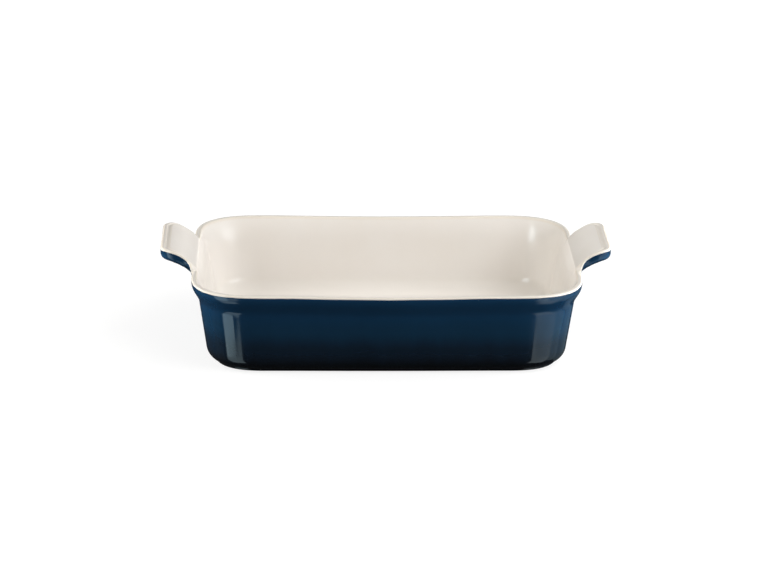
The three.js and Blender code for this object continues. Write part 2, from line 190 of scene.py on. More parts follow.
@dataclass(frozen=True)
class WallSection:
    """Section through the rim, the wall, the floor and the foot, in millimetres.

    Attributes:
        height: Table to the crown of the rim.
        sag: Dip of the crown at the middle of each long side.
        rim_round: Outer round, just below which the cream glaze ends.
        rim_band: Upright band below the outer round.
        flare: Crown to the place where the flare runs out into the wall.
        overhang: How far the rim's edge stands out from the wall there.
        tension: Share of the flare's height that the guide at each end of its curve takes.
        lip_round: Inner round of the rim.
        inner_flare: How far the inner wall leans out at the crown.
        inner_flare_depth: Crown to the place where that lean starts.
        draft: Slope of the outer wall in degrees.
        at_rim: Level thickness of the straight wall, carried up to the crown.
        at_table: Level thickness of the straight wall, carried down to the table.
        floor: Height of the floor.
        floor_fillet: Radius between floor and wall.
        base_fillet: Radius at the foot of the outer wall.
        base_lift: Height of the level at which the base fillet would run out.
        foot_setback: Foot ring's outside from where the wall's slope meets the table.
        foot_round: Level run of the foot ring's round.
        foot_width: Width of the foot ring.
        foot_glazed: Degrees of the foot's round that the blue glaze covers.
        recess: Height of the panel inside the foot ring.
        recess_slope: Level run of the foot ring's inner side.
    """

    height: float = 79.6
    sag: float = 1.3
    rim_round: float = 1.5
    rim_band: float = 2.0
    flare: float = 20.8
    overhang: float = 6.8
    tension: float = 0.34
    lip_round: float = 1.8
    inner_flare: float = 4.6
    inner_flare_depth: float = 22.0
    draft: float = 8.0
    at_rim: float = 5.0
    at_table: float = 6.5
    floor: float = 8.0
    floor_fillet: float = 18.0
    base_fillet: float = 13.5
    base_lift: float = 1.6
    foot_setback: float = 5.9
    foot_round: float = 2.6
    foot_width: float = 8.0
    foot_glazed: float = 50.0
    recess: float = 1.6
    recess_slope: float = 1.5

    @property
    def outer_slope(self) -> float:
        """Slope of the outer wall from upright, in radians."""
        return math.radians(self.draft)

    @property
    def inner_slope(self) -> float:
        """Slope of the inner wall from upright, in radians."""
        return math.atan(math.tan(self.outer_slope) + (self.at_table - self.at_rim) / self.height)

    @property
    def lip_slope(self) -> float:
        """Slope of the inner wall's flare from upright below the lip, in radians."""
        return math.atan(math.tan(self.inner_slope) + 2 * self.inner_flare / self.inner_flare_depth)

    @property
    def lip_foot(self) -> float:
        """Height at which the inner wall runs into the lip's round."""
        return self.height - self.lip_round * (1 - math.sin(self.lip_slope))

    @property
    def crown_inset(self) -> float:
        """Inset of the crown's inner edge from the rim's edge."""
        return self.inner(self.lip_foot) - self.lip_round * math.cos(self.lip_slope)

    @property
    def foot_inset(self) -> float:
        """Inset of the foot ring's outside from the rim's edge."""
        return self.outer(0.0) + self.foot_setback

    def outer(self, height: float) -> float:
        """Inset of the outer wall from the rim's edge at a height."""
        return self.overhang + (self.height - self.flare - height) * math.tan(self.outer_slope)

    def inner(self, height: float) -> float:
        """Inset of the inner wall from the rim's edge.

        Args:
            height: Height above the table.

        Returns:
            The inset.
        """
        straight = self.outer(height) + mix(self.at_table, self.at_rim, height / self.height)
        rise = max(height - self.height + self.inner_flare_depth, 0.0) / self.inner_flare_depth
        return straight - self.inner_flare * rise**2

    def flare_at(self, share: float) -> tuple[float, float]:
        """Place on the plain rim's flare, a curve with four guide points.

        Args:
            share: Share of the curve, from its top to the wall.

        Returns:
            The inset from the rim's edge and the height.
        """
        top, foot = self.height - self.rim_round - self.rim_band, self.height - self.flare
        arm = self.tension * (top - foot)
        insets = (0.0, 0.0, self.outer(foot + arm), self.overhang)
        heights = (top, top - arm, foot + arm, foot)
        rest = 1 - share
        weights = (rest**3, 3 * share * rest**2, 3 * share**2 * rest, share**3)
        inset = sum(w * i for w, i in zip(weights, insets))
        return inset, sum(w * h for w, h in zip(weights, heights))


@dataclass(frozen=True)
class HandleForm:
    """Upswept tab handle at each end, in millimetres.

    Attributes:
        reach: Free end beyond the rim's edge.
        width: Width between the straight sides.
        corner: Corner radius at the free end.
        root: Radius that spreads the handle into the rim.
        rise: Free end above the crown of the rim.
        thickness: Thickness at the free end.
        edge_round: Round along the top edge.
        under_round: Round along the lower edge.
        ramp_inset: Where the handle starts to climb, inside the rim's edge.
        ramp_level: Stretch at the free end that runs level.
        ramp_power: How fast the climb slackens.
        softening: Half width of the valley where the climb starts.
        groove_inset: Middle of the groove behind the free end's lip, inside the edge.
        groove_width: Width of the groove.
        groove_depth: Depth of the groove.
        fan: How fast the inner ends of the sections close up beyond the root.
        drawn_in: How far the inner ends of the sides' sections lie inside the sides.
        blend: Reach over which the rim's edge turns into the handle's edge.
    """

    reach: float = 29.5
    width: float = 92.0
    corner: float = 13.0
    root: float = 9.0
    rise: float = 18.4
    thickness: float = 11.8
    edge_round: float = 2.0
    under_round: float = 6.2
    ramp_inset: float = 5.0
    ramp_level: float = 2.0
    ramp_power: float = 2.2
    softening: float = 2.0
    groove_inset: float = 6.0
    groove_width: float = 4.0
    groove_depth: float = 0.8
    fan: float = 0.25
    drawn_in: float = 8.7
    blend: float = 8.0

    @property
    def half(self) -> float:
        """Half the width between the straight sides."""
        return self.width / 2

    @property
    def root_half(self) -> float:
        """Half the width where the handle meets the rim."""
        return self.half + self.root

    @property
    def band(self) -> float:
        """Height of the upright band between the two rounds of the edge."""
        return self.thickness - self.edge_round - self.under_round


@dataclass(frozen=True)
class Fineness:
    """Steps of the fine grid: end to side run along a quarter's outline, floor to base down a section."""

    end: int = 16
    handle_corner: int = 14
    handle_side: int = 8
    root: int = 14
    corner: int = 40
    side: int = 26
    floor: int = 6
    floor_fillet: int = 14
    inner_wall: int = 20
    lip: int = 8
    crown: int = 2
    top: int = 38
    edge: int = 8
    band: int = 2
    under_round: int = 10
    underside: int = 14
    cove: int = 12
    outer_wall: int = 14
    base_fillet: int = 12
    foot: int = 6
    base: int = 5


@dataclass(frozen=True)
class GlazeLine:
    """Uneven line below the top edge on which the cream glaze ends, in millimetres.

    Attributes:
        depth: Most that the line dips below the edge's round.
        wave_x: Run along the dish per radian of the main wave.
        sway: Swing of the main wave, in radians.
        sway_y: Run across the dish per radian of that swing.
        wave_y: Run across the dish per radian of the lesser wave.
        slant_x: Run along the dish per radian of the lesser wave.
    """

    depth: float = 0.35
    wave_x: float = 9.0
    sway: float = 2.0
    sway_y: float = 17.0
    wave_y: float = 6.0
    slant_x: float = 23.0

    def dip(self, x: float, y: float) -> float:
        """How far the line dips below the edge's round.

        Args:
            x: Plan place of the edge along the dish.
            y: Plan place of the edge across the dish.

        Returns:
            The dip, from 0 to the depth.
        """
        main = math.sin(x / self.wave_x + self.sway * math.sin(y / self.sway_y))
        lesser = math.sin(y / self.wave_y + x / self.slant_x) / 2
        return self.depth * (0.5 + (main + lesser) / 3)


@dataclass(frozen=True)
class DishForm:
    """The dish's glazed surface, as sections round the outline that share their rings.

    Attributes:
        plan: Outline of the rim.
        wall: Section of the tub.
        handle: Handle at each end.
        steps: Steps of the grid.
        glaze_line: Line on which the cream glaze ends.
        flare_edge_end: Share of the flare's curve that its edge takes.
        flare_cove_start: Share of the flare's curve at which its cove starts.
        valley_share: Place of the valley's ring between the crown and the round of the rim's edge.
        under_softening: Softening of the climb on the handle's underside.
    """

    plan: RimPlan = field(default_factory=RimPlan)
    wall: WallSection = field(default_factory=WallSection)
    handle: HandleForm = field(default_factory=HandleForm)
    steps: Fineness = field(default_factory=Fineness)
    glaze_line: GlazeLine = field(default_factory=GlazeLine)
    flare_edge_end: float = 0.3
    flare_cove_start: float = 0.55
    valley_share: float = 0.3
    under_softening: float = 6.0

    @property
    def handle_end(self) -> float:
        """Distance of the handle's free end from the middle."""
        return self.plan.half_length + self.handle.reach

    def handle_station(self, x: float, y: float, normal_x: float, normal_y: float) -> Station:
        """Section on a handle's outline, which runs towards the dish's middle at its inner end.

        Args:
            x: Plan place of its edge along the dish.
            y: Plan place of its edge across the dish.
            normal_x: Outward direction of the outline along the dish.
            normal_y: Outward direction of the outline across the dish.

        Returns:
            The station.
        """
        past_root = max(0.0, x - self.plan.half_length - self.handle.root)
        spread = 1 - self.handle.fan * past_root / self.handle.half
        inner_y = y * spread - self.handle.drawn_in * normal_y
        return Station(self.plan.along_at(inner_y), np.array((x, y)), np.array((normal_x, normal_y)))

    def stations(self) -> list[Station]:
        """Sections of one quarter.

        Returns:
            The stations, from the middle of the handle's end to the middle of the side.
        """
        handle, plan, steps = self.handle, self.plan, self.steps
        corner_x, corner_y = self.handle_end - handle.corner, handle.half - handle.corner
        root_end, root_along = plan.half_length + handle.root, plan.along_at(handle.root_half)
        root_span = root_end - plan.ring(0.0, root_along)[0]
        found = []
        for i in range(steps.end):
            found.append(self.handle_station(self.handle_end, corner_y * i / steps.end, 1.0, 0.0))
        for i in range(steps.handle_corner):
            turn = QUARTER * i / steps.handle_corner
            x, y = math.cos(turn), math.sin(turn)
            place = corner_x + handle.corner * x, corner_y + handle.corner * y
            found.append(self.handle_station(*place, x, y))
        for i in range(steps.handle_side):
            x = mix(corner_x, root_end, i / steps.handle_side)
            found.append(self.handle_station(x, handle.half, 0.0, 1.0))
        for i in range(steps.root):
            turn = QUARTER * i / steps.root
            x, y = math.sin(turn), math.cos(turn)
            place = root_end - root_span * x, handle.root_half - handle.root * y
            found.append(self.handle_station(*place, x, y))
        alongs = [mix(root_along, 2.0, i / steps.corner) for i in range(steps.corner)]
        alongs += [2 + i / steps.side for i in range(steps.side + 1)]
        return found + [Station(along, plan.ring(0.0, along)) for along in alongs]

    def edge_place(self, station: Station, inset: float) -> Place:
        """Plan point inside the dish's outline, handles included.

        Args:
            station: The section.
            inset: Distance inside the outline.

        Returns:
            The plan point.
        """
        if station.normal is None:
            return self.plan.ring(inset, station.along)
        return station.edge - station.normal * inset

    def share(self, station: Station) -> float:
        """How far a section belongs to a handle, from 0 on the plain rim to 1.

        Args:
            station: The section.

        Returns:
            The share.
        """
        if station.normal is None:
            return 0.0
        beyond = station.edge[0] - self.plan.ring(0.0, station.along)[0]
        return smooth(0.0, self.handle.blend, beyond)

    def lift(self, station: Station, place: Place, softening: float) -> float:
        """Height of a handle's surface above the rim's crown.

        Args:
            station: Section that the place is on.
            place: Plan point.
            softening: Half width of the valley where the climb starts.

        Returns:
            The height, which is 0 on the plain rim.
        """
        handle = self.handle
        if station.normal is None:
            return 0.0
        fade = smooth(handle.half, handle.root_half, place[1])
        past = place[0] - self.plan.half_length + mix(handle.ramp_inset, -softening, fade)
        if past <= -softening:
            return 0.0
        run = (past + softening) ** 2 / (4 * softening) if past < softening else past
        whole_run = handle.reach + handle.ramp_inset - handle.ramp_level
        return handle.rise * (1 - (1 - min(run / whole_run, 1.0)) ** handle.ramp_power)

    def top_height(self, station: Station, place: Place) -> float:
        """Height of the rim's or the handle's top at a plan point."""
        return self.wall.height + self.lift(station, place, self.handle.softening)

    def edge_round(self, station: Station) -> float:
        """Round along the top edge, from the rim's to the handle's."""
        rim_round = min(self.wall.rim_round, self.wall.crown_inset / 2)
        return mix(rim_round, self.handle.edge_round, self.share(station))

    def groove_drop(self, station: Station, inset: float) -> float:
        """Drop of the groove behind a handle's lip.

        Args:
            station: The section.
            inset: Distance inside the handle's edge.

        Returns:
            The drop, which is 0 away from the groove.
        """
        handle = self.handle
        away = abs(inset - handle.groove_inset) / (handle.groove_width / 2)
        if station.normal is None or away >= 1:
            return 0.0
        strength = smooth(self.handle_end - handle.corner, self.handle_end, station.edge[0])
        return handle.groove_depth * strength * (1 + math.cos(math.pi * away)) / 2

    def inside(self, station: Station) -> list[Ring]:
        """Floor, its fillet, the inner wall and the lip, up to the crown.

        Args:
            station: The section.

        Returns:
            Plan points and heights.
        """
        wall, steps, slope = self.wall, self.steps, self.wall.inner_slope
        centre_height = wall.floor + wall.floor_fillet
        centre_inset = wall.inner(centre_height) + wall.floor_fillet / math.cos(slope)
        floor_edge = self.plan.ring(centre_inset, station.along)
        rings = [(floor_edge * (i / steps.floor), wall.floor) for i in range(steps.floor)]
        section = []
        for i in range(steps.floor_fillet + 1):
            turn = mix(QUARTER, slope, i / steps.floor_fillet)
            inset = centre_inset - wall.floor_fillet * math.cos(turn)
            section.append((inset, centre_height - wall.floor_fillet * math.sin(turn)))
        wall_foot = section[-1][1]
        for i in range(1, steps.inner_wall):
            height = mix(wall_foot, wall.lip_foot, i / steps.inner_wall)
            section.append((wall.inner(height), height))
        for i in range(steps.lip + 1):
            turn = mix(wall.lip_slope, QUARTER, i / steps.lip)
            inset = wall.crown_inset + wall.lip_round * math.cos(turn)
            section.append((inset, wall.height - wall.lip_round * (1 - math.sin(turn))))
        for inset, height in section:
            place = self.plan.ring(inset, station.along)
            rings.append((place, height + self.lift(station, place, self.handle.softening)))
        return rings

    def top(self, station: Station) -> list[Ring]:
        """Top of the rim or the handle from the crown out to the round of its edge.

        Args:
            station: The section.

        Returns:
            Plan points and heights.
        """
        share, radius, steps = self.share(station), self.edge_round(station), self.steps
        crown = self.plan.ring(self.wall.crown_inset, station.along)
        valley = self.plan.ring(mix(self.wall.crown_inset, radius, self.valley_share), station.along)
        shoulder = self.edge_place(station, radius)
        span = float(np.linalg.norm(shoulder - valley))
        rings = []
        for i in range(1, steps.crown + 1):
            place = mix(crown, valley, i / steps.crown)
            rings.append((place, self.top_height(station, place)))
        for i in range(1, steps.top + 1):
            place = mix(valley, shoulder, i / steps.top)
            inset = radius + span * (1 - i / steps.top)
            drop = share * self.groove_drop(station, inset)
            rings.append((place, self.top_height(station, place) - drop))
        return rings

    def edge(self, station: Station) -> list[Ring]:
        """Round along the top edge, down to the uneven end of the cream glaze.

        Args:
            station: The section.

        Returns:
            Plan points and heights.
        """
        radius, steps = self.edge_round(station), self.steps.edge
        shoulder = self.top_height(station, self.edge_place(station, radius))
        edge = self.top_height(station, station.edge)
        rings = []
        for i in range(1, steps + 1):
            turn = QUARTER * i / steps
            height = mix(shoulder, edge, i / steps) - radius * (1 - math.cos(turn))
            rings.append((self.edge_place(station, radius * (1 - math.sin(turn))), height))
        place, height = rings[-1]
        rings[-1] = (place, height - self.wavering(station))
        return rings

    def wavering(self, station: Station) -> float:
        """How far below its even line the cream glaze ends at a section."""
        return self.glaze_line.dip(*station.edge)

    def under(self, station: Station) -> list[Ring]:
        """Band below the cream glaze, the rounded lower edge, the underside and the cove.

        Args:
            station: The section.

        Returns:
            Plan points and heights.
        """
        handle, steps, share = self.handle, self.steps, self.share(station)
        crown, top = self.wall.height, self.top_height(station, station.edge)
        band_top = top - self.edge_round(station) - self.wavering(station)
        band_foot = top - self.edge_round(station) - mix(self.wall.rim_band, handle.band, share)
        rings = []
        for i in range(1, steps.band + 1):
            rings.append((station.edge, mix(band_top, band_foot, i / steps.band)))
        for i in range(1, steps.under_round + 1):
            turn = QUARTER * i / steps.under_round
            place = self.edge_place(station, handle.under_round * (1 - math.cos(turn)))
            height = top - handle.thickness + handle.under_round * (1 - math.sin(turn))
            plain, plain_height = self.flare(station, self.flare_edge_end * i / steps.under_round)
            rings.append((mix(plain, place, share), mix(plain_height, height, share)))
        cove, cove_height = self.flare(station, self.flare_cove_start)
        start = self.edge_place(station, handle.under_round)
        start_lift = top - crown - self.lift(station, start, self.under_softening)
        for i in range(1, steps.underside + 1):
            reach = i / steps.underside
            place = mix(start, cove, reach)
            lift = self.lift(station, place, self.under_softening) + mix(start_lift, 0.0, reach)
            height = lift + mix(crown - handle.thickness, cove_height, reach)
            flare_share = mix(self.flare_edge_end, self.flare_cove_start, reach)
            plain, plain_height = self.flare(station, flare_share)
            rings.append((mix(plain, place, share), mix(plain_height, height, share)))
        cove_lift = rings[-1][1] - cove_height
        for i in range(1, steps.cove + 1):
            reach = i / steps.cove
            place, height = self.flare(station, mix(self.flare_cove_start, 1.0, reach))
            rings.append((place, height + mix(cove_lift, 0.0, reach)))
        return rings

    def flare(self, station: Station, share: float) -> tuple[Place, float]:
        """Plan point and height of the plain rim's flare at a share of its curve."""
        inset, height = self.wall.flare_at(share)
        return self.plan.ring(inset, station.along), height

    def foot(self, station: Station) -> list[Ring]:
        """Outer wall, the base fillet and the glazed part of the foot's round.

        Args:
            station: The section.

        Returns:
            Plan points and heights.
        """
        wall, steps, slope = self.wall, self.steps, self.wall.outer_slope
        centre_height = wall.base_lift + wall.base_fillet
        centre_inset = wall.outer(centre_height) + wall.base_fillet / math.cos(slope)
        last_turn = math.acos((centre_inset - wall.foot_inset) / wall.base_fillet)
        fillet_top = centre_height - wall.base_fillet * math.sin(slope)
        section = []
        for i in range(1, steps.outer_wall):
            height = mix(wall.height - wall.flare, fillet_top, i / steps.outer_wall)
            section.append((wall.outer(height), height))
        for i in range(steps.base_fillet + 1):
            turn = mix(slope, last_turn, i / steps.base_fillet)
            inset = centre_inset - wall.base_fillet * math.cos(turn)
            section.append((inset, centre_height - wall.base_fillet * math.sin(turn)))
        foot_height = section[-1][1]
        for i in range(1, steps.foot + 1):
            turn = math.radians(wall.foot_glazed) * i / steps.foot
            inset = wall.foot_inset + wall.foot_round * (1 - math.cos(turn))
            section.append((inset, foot_height * (1 - math.sin(turn))))
        return [(self.plan.ring(inset, station.along), height) for inset, height in section]

    def land(self, station: Station) -> list[Ring]:
        """Bare land of the foot ring, from its outer to its inner edge.

        Args:
            station: The section.

        Returns:
            Plan points and heights.
        """
        wall = self.wall
        insets = (wall.foot_inset + wall.foot_round, wall.foot_inset + wall.foot_width)
        return [(self.plan.ring(inset, station.along), 0.0) for inset in insets]

    def base(self, station: Station) -> list[Ring]:
        """Panel inside the foot ring, from its edge to the middle.

        Args:
            station: The section.

        Returns:
            Plan points and heights.
        """
        wall, steps = self.wall, self.steps.base
        inset = wall.foot_inset + wall.foot_width + wall.recess_slope
        edge = self.plan.ring(inset, station.along)
        return [(edge * (1 - i / steps), wall.recess) for i in range(steps + 1)]

    def sagged(self, station: Station, height: float) -> float:
        """Height of a point with the sag of the long sides.

        Args:
            station: The section.
            height: Height without the sag.

        Returns:
            The height.
        """
        left = min(3 - station.along, 1.0)
        sag = self.wall.sag * (1 - left**2) ** 2
        return height - sag * smooth(self.wall.floor, self.wall.height, height)

    def grid(self) -> "GlazeGrid":
        """The whole surface: the first quarter and its three mirror images.

        Returns:
            The grid, in metres.
        """
        quarter, cream_end, blue_end, base_start = [], 0, 0, 0
        for station in self.stations():
            rings = self.inside(station) + self.top(station) + self.edge(station)
            cream_end = len(rings) - 1
            rings += self.under(station) + self.foot(station)
            blue_end = len(rings) - 1
            rings += self.land(station)
            base_start = len(rings)
            rings += self.base(station)
            quarter.append([(*place, self.sagged(station, height)) for place, height in rings])
        forth = np.array(quarter) * MM
        back = forth[::-1]
        others = (back[1:] * (-1, 1, 1), forth[1:] * (-1, -1, 1), back[1:-1] * (1, -1, 1))
        return GlazeGrid(np.concatenate((forth, *others)), cream_end, blue_end, base_start)


@dataclass
class GlazeGrid:
    """Points of the glazed surface by section and ring, in metres.

    Attributes:
        points: Points by section, ring and axis.
        cream_end: Ring at which the cream glaze ends and the blue one starts.
        blue_end: Ring at which the blue glaze ends.
        base_start: Ring at which the glaze of the base starts.
        coat: Thickness of a glaze coat.
        least_step: Shortest step between points over which a bend is measured.
        full_bend: Radius of a round that counts as a full bend.
    """

    points: np.ndarray
    cream_end: int
    blue_end: int
    base_start: int
    coat: float = 0.5 * MM
    least_step: float = 0.01 * MM
    full_bend: float = 3.0 * MM

    @property
    def last(self) -> int:
        """Last ring, which is the middle of the base."""
        return self.points.shape[1] - 1

    def steps_along(self) -> tuple[np.ndarray, np.ndarray]:
        """Steps from every point to the next section and to the next ring.

        Returns:
            The steps ahead and the steps down, which are 0 on the last ring.
        """
        ahead = np.roll(self.points, -1, axis=0) - self.points
        down = np.diff(self.points, axis=1, append=self.points[:, -1:])
        return ahead, down

    def normals(self) -> np.ndarray:
        """Directions away from the clay at every point.

        Returns:
            Vectors of length one by section, ring and axis.
        """
        ahead, down = self.steps_along()
        ahead_unit, down_unit = unit(ahead), unit(down)
        along = ahead_unit + np.roll(ahead_unit, 1, axis=0)
        through = down_unit + np.concatenate((down_unit[:, :1], down_unit[:, :-1]), axis=1)
        normals = unit(np.cross(through, along))
        normals[:, 0] = (0.0, 0.0, 1.0)
        normals[:, -1] = (0.0, 0.0, -1.0)
        return normals

    def clay(self) -> np.ndarray:
        """Points of the clay: a coat's thickness under the glaze, and level with the bare land.

        Returns:
            The points by section, ring and axis.
        """
        clay = self.points - self.normals() * self.coat
        bare = slice(self.blue_end + 1, self.base_start)
        clay[:, bare] = self.points[:, bare]
        return clay

    def bends(self) -> np.ndarray:
        """Bend of the surface at every point.

        Returns:
            Values from -1 in a hollow through 0 on the flat to 1 on an outer edge.
        """
        normals, (ahead, down) = self.normals(), self.steps_along()
        turn_down = np.diff(normals, axis=1, append=normals[:, -1:])
        turn_ahead = np.roll(normals, -1, axis=0) - normals
        least = self.least_step**2
        bend = np.sum(turn_down * down, axis=2) / np.maximum(np.sum(down**2, axis=2), least)
        bend = bend + np.sum(turn_ahead * ahead, axis=2) / np.maximum(np.sum(ahead**2, axis=2), least)
        bend[:, 0], bend[:, -1] = bend[:, 1], 0.0
        return np.clip(bend * self.full_bend, -1.0, 1.0)


def unit(steps: np.ndarray) -> np.ndarray:
    """Directions of steps as vectors of length one."""
    lengths = np.linalg.norm(steps, axis=-1, keepdims=True)
    return steps / np.maximum(lengths, TINY)


class Part(Enum):
    """Pieces of the dish, each with its name, its CAD node and its material slot."""

    CLAY = ("stoneware", "stoneware_body", "stoneware")
    CREAM = ("cream_glaze_coat", "interior_glaze", "cream_glaze")
    BLUE = ("blue_glaze_coat", "exterior_glaze", "blue_glaze")
    BASE = ("base_glaze_coat", "base_glaze", "base_glaze")

    @property
    def piece(self) -> str:
        """Name of the piece."""
        return self.value[0]

    @property
    def node(self) -> str:
        """Name of the CAD node that the piece stands for."""
        return self.value[1]

    @property
    def slot(self) -> str:
        """Name of the record's material slot."""
        return self.value[2]


class Graph:
    """A node tree under construction."""

    def __init__(self, tree: bpy.types.NodeTree) -> None:
        """Keeps the tree that nodes go into."""
        self.tree = tree

    def node(self, kind: str, inputs: dict[Any, Any] | None = None, **settings: Any) -> bpy.types.Node:
        """Adds a node.

        Args:
            kind: Blender's name of the node type.
            inputs: Values or sockets by the input's name or number.
            **settings: Properties of the node.

        Returns:
            The node.
        """
        node = self.tree.nodes.new(kind)
        for name, value in settings.items():
            setattr(node, name, value)
        for key, value in (inputs or {}).items():
            if isinstance(value, Socket):
                self.tree.links.new(value, node.inputs[key])
            else:
                node.inputs[key].default_value = value
        return node

    def place(self) -> Socket:
        """Output of the place on the surface, in the object's own coordinates."""
        return self.node("ShaderNodeTexCoord").outputs["Object"]

    def maths(self, first: Any, second: Any, kind: str = "ADD") -> Socket:
        """Output of a sum of two values, or of another arithmetic step."""
        return self.node("ShaderNodeMath", {0: first, 1: second}, operation=kind).outputs[0]

    def times(self, first: Any, second: Any) -> Socket:
        """Output of a product of two values."""
        return self.maths(first, second, "MULTIPLY")

    def scaled(self, value: Socket, low: float, high: float, to: Ends, kind: str = "SMOOTHSTEP") -> Socket:
        """Output of a value carried from one range to another.

        Args:
            value: Socket with the value.
            low: Value that becomes the first end.
            high: Value that becomes the second end.
            to: The two ends.
            kind: Blender's name of the way between them.

        Returns:
            The output socket.
        """
        inputs = {"Value": value, "From Min": low, "From Max": high, "To Min": to[0], "To Max": to[1]}
        return self.node("ShaderNodeMapRange", inputs, interpolation_type=kind).outputs[0]

    def blend(self, share: Any, first: Any, second: Any) -> Socket:
        """Output of two colours blended by a share.

        Args:
            share: Share of the second colour.
            first: First colour or its socket.
            second: Second colour or its socket.

        Returns:
            The output socket.
        """
        colours = [c if isinstance(c, Socket) else (*c, 1.0) for c in (first, second)]
        inputs = {0: share, MIX_FIRST: colours[0], MIX_SECOND: colours[1]}
        return self.node("ShaderNodeMix", inputs, data_type="RGBA").outputs[MIX_RESULT]

    def noise(self, place: Socket, scale: Any, detail: float, seed: float = 0.0) -> Socket:
        """Output of a noise of a size.

        Args:
            place: Socket with the place.
            scale: Waves per metre, or their socket.
            detail: Finer octaves.
            seed: Which noise of that size.

        Returns:
            The output socket.
        """
        inputs = {"Vector": place, "W": seed, "Scale": scale, "Detail": detail}
        return self.node("ShaderNodeTexNoise", inputs, noise_dimensions="4D").outputs[0]


class NodeGroup:
    """A shader node group with named values, built once.

    Attributes:
        name: Name of the group.
        inputs: Usual values of its inputs by name.
        outputs: Names of its outputs.
    """

    name = "group"
    inputs: dict[str, float] = {}
    outputs: tuple[str, ...] = ()

    def __init__(self) -> None:
        """Makes the group's tree with its sockets."""
        self.tree = bpy.data.node_groups.new(self.name, "ShaderNodeTree")
        for name, value in self.inputs.items():
            socket = self.tree.interface.new_socket(name, in_out="INPUT", socket_type="NodeSocketFloat")
            socket.default_value = value
        for name in self.outputs:
            self.tree.interface.new_socket(name, in_out="OUTPUT", socket_type="NodeSocketFloat")
        graph = Graph(self.tree)
        given = graph.node("NodeGroupInput")
        results = self.build(graph, {name: given.outputs[name] for name in self.inputs})
        graph.node("NodeGroupOutput", results)

    def build(self, graph: Graph, given: Sockets) -> Sockets:
        """Fills the group.

        Args:
            graph: The group's tree.
            given: Input sockets by name.

        Returns:
            Output sockets by name.
        """
        raise NotImplementedError

    def put(self, graph: Graph, **values: float) -> Sockets:
        """Puts the group into a material.

        Args:
            graph: The material's tree.
            **values: Input values by name, with underscores for spaces.

        Returns:
            Output sockets by name.
        """
        inputs = {name.replace("_", " "): value for name, value in values.items()}
        node = graph.node("ShaderNodeGroup", inputs, node_tree=self.tree)
        return {name: node.outputs[name] for name in self.outputs}


class GlazeSkin(NodeGroup):
    """Unevenness of a fired glaze: slow tone, downward flow, specks and the ripple of its surface.

    Attributes:
        flow_stretch: Scale of the flow along each axis, small where it is drawn out.
        speck_choice: Share of the cells that stay without a speck.
        ripple_scale: Waves of the ripple per metre.
        peel_scale: Waves of the fine peel per metre.
        pit: Depth of a speck's pit, by the ripple's height.
    """

    name = "glaze_skin"
    inputs = {"Tone scale": 14.0, "Flow scale": 70.0, "Speck scale": 300.0, "Speck size": 0.07, "Peel": 0.35}
    outputs = ("Tone", "Flow", "Specks", "Height")
    flow_stretch = (1.0, 1.0, 0.12)
    speck_choice = 0.72
    ripple_scale = 42.0
    peel_scale = 420.0
    pit = 0.3

    def build(self, graph: Graph, given: Sockets) -> Sockets:
        """Fills the group from the object's own coordinates.

        Args:
            graph: The group's tree.
            given: Input sockets by name.

        Returns:
            Output sockets by name.
        """
        place = graph.place()
        tone = graph.noise(place, given["Tone scale"], detail=3.0)
        stretch = {0: place, 1: self.flow_stretch}
        drawn = graph.node("ShaderNodeVectorMath", stretch, operation="MULTIPLY").outputs[0]
        flow = graph.noise(drawn, given["Flow scale"], detail=4.0, seed=3.0)
        cells = {"Vector": place, "Scale": given["Speck scale"], "Randomness": 1.0}
        cell = graph.node("ShaderNodeTexVoronoi", cells)
        dot = graph.maths(cell.outputs["Distance"], given["Speck size"], "LESS_THAN")
        chance = graph.node("ShaderNodeSeparateColor", {0: cell.outputs["Color"]}).outputs[0]
        specks = graph.times(dot, graph.maths(chance, self.speck_choice, "GREATER_THAN"))
        ripple = graph.noise(place, self.ripple_scale, detail=2.0, seed=7.0)
        peel = graph.times(graph.noise(place, self.peel_scale, detail=2.0, seed=9.0), given["Peel"])
        height = graph.maths(graph.maths(ripple, peel), graph.times(specks, -self.pit))
        return {"Tone": tone, "Flow": flow, "Specks": specks, "Height": height}


class GlazeBreak(NodeGroup):
    """Where a glaze runs thin over an outer edge, and where it pools in a hollow.

    Attributes:
        edge_span: Bend past the edge's start at which the glaze is thinnest.
        hollow_span: Bend past the hollow's start at which the pool is full.
    """

    name = "glaze_break"
    inputs = {"Edge start": 0.35, "Hollow start": 0.06}
    outputs = ("Thin", "Pool")
    edge_span = 0.6
    hollow_span = 0.4

    def build(self, graph: Graph, given: Sockets) -> Sockets:
        """Fills the group from the bend that the mesh carries.

        Args:
            graph: The group's tree.
            given: Input sockets by name.

        Returns:
            Output sockets by name.
        """
        bend = graph.node("ShaderNodeAttribute", attribute_name=BEND).outputs["Fac"]
        over = graph.maths(bend, given["Edge start"], "SUBTRACT")
        under = graph.maths(graph.times(bend, -1.0), given["Hollow start"], "SUBTRACT")
        thin = graph.scaled(over, 0.0, self.edge_span, FULL, "LINEAR")
        pool = graph.scaled(under, 0.0, self.hollow_span, FULL, "LINEAR")
        return {"Thin": thin, "Pool": pool}


@dataclass
class GlazeShop:
    """The shared node groups that the finishes use.

    Attributes:
        skin: Unevenness of a glaze.
        breaks: Thin and pooled glaze.
    """

    skin: GlazeSkin = field(default_factory=GlazeSkin)
    breaks: GlazeBreak = field(default_factory=GlazeBreak)


def new_material(name: str) -> tuple[bpy.types.Material, Graph, bpy.types.Node]:
    """An empty material with its shader.

    Args:
        name: Name of the material.

    Returns:
        The material, its graph and its shader node.
    """
    material = bpy.data.materials.new(name)
    material.use_nodes = True
    material.node_tree.nodes.clear()
    graph = Graph(material.node_tree)
    shader = graph.node("ShaderNodeBsdfPrincipled")
    graph.node("ShaderNodeOutputMaterial", {"Surface": shader.outputs[0]})
    return material, graph, shader


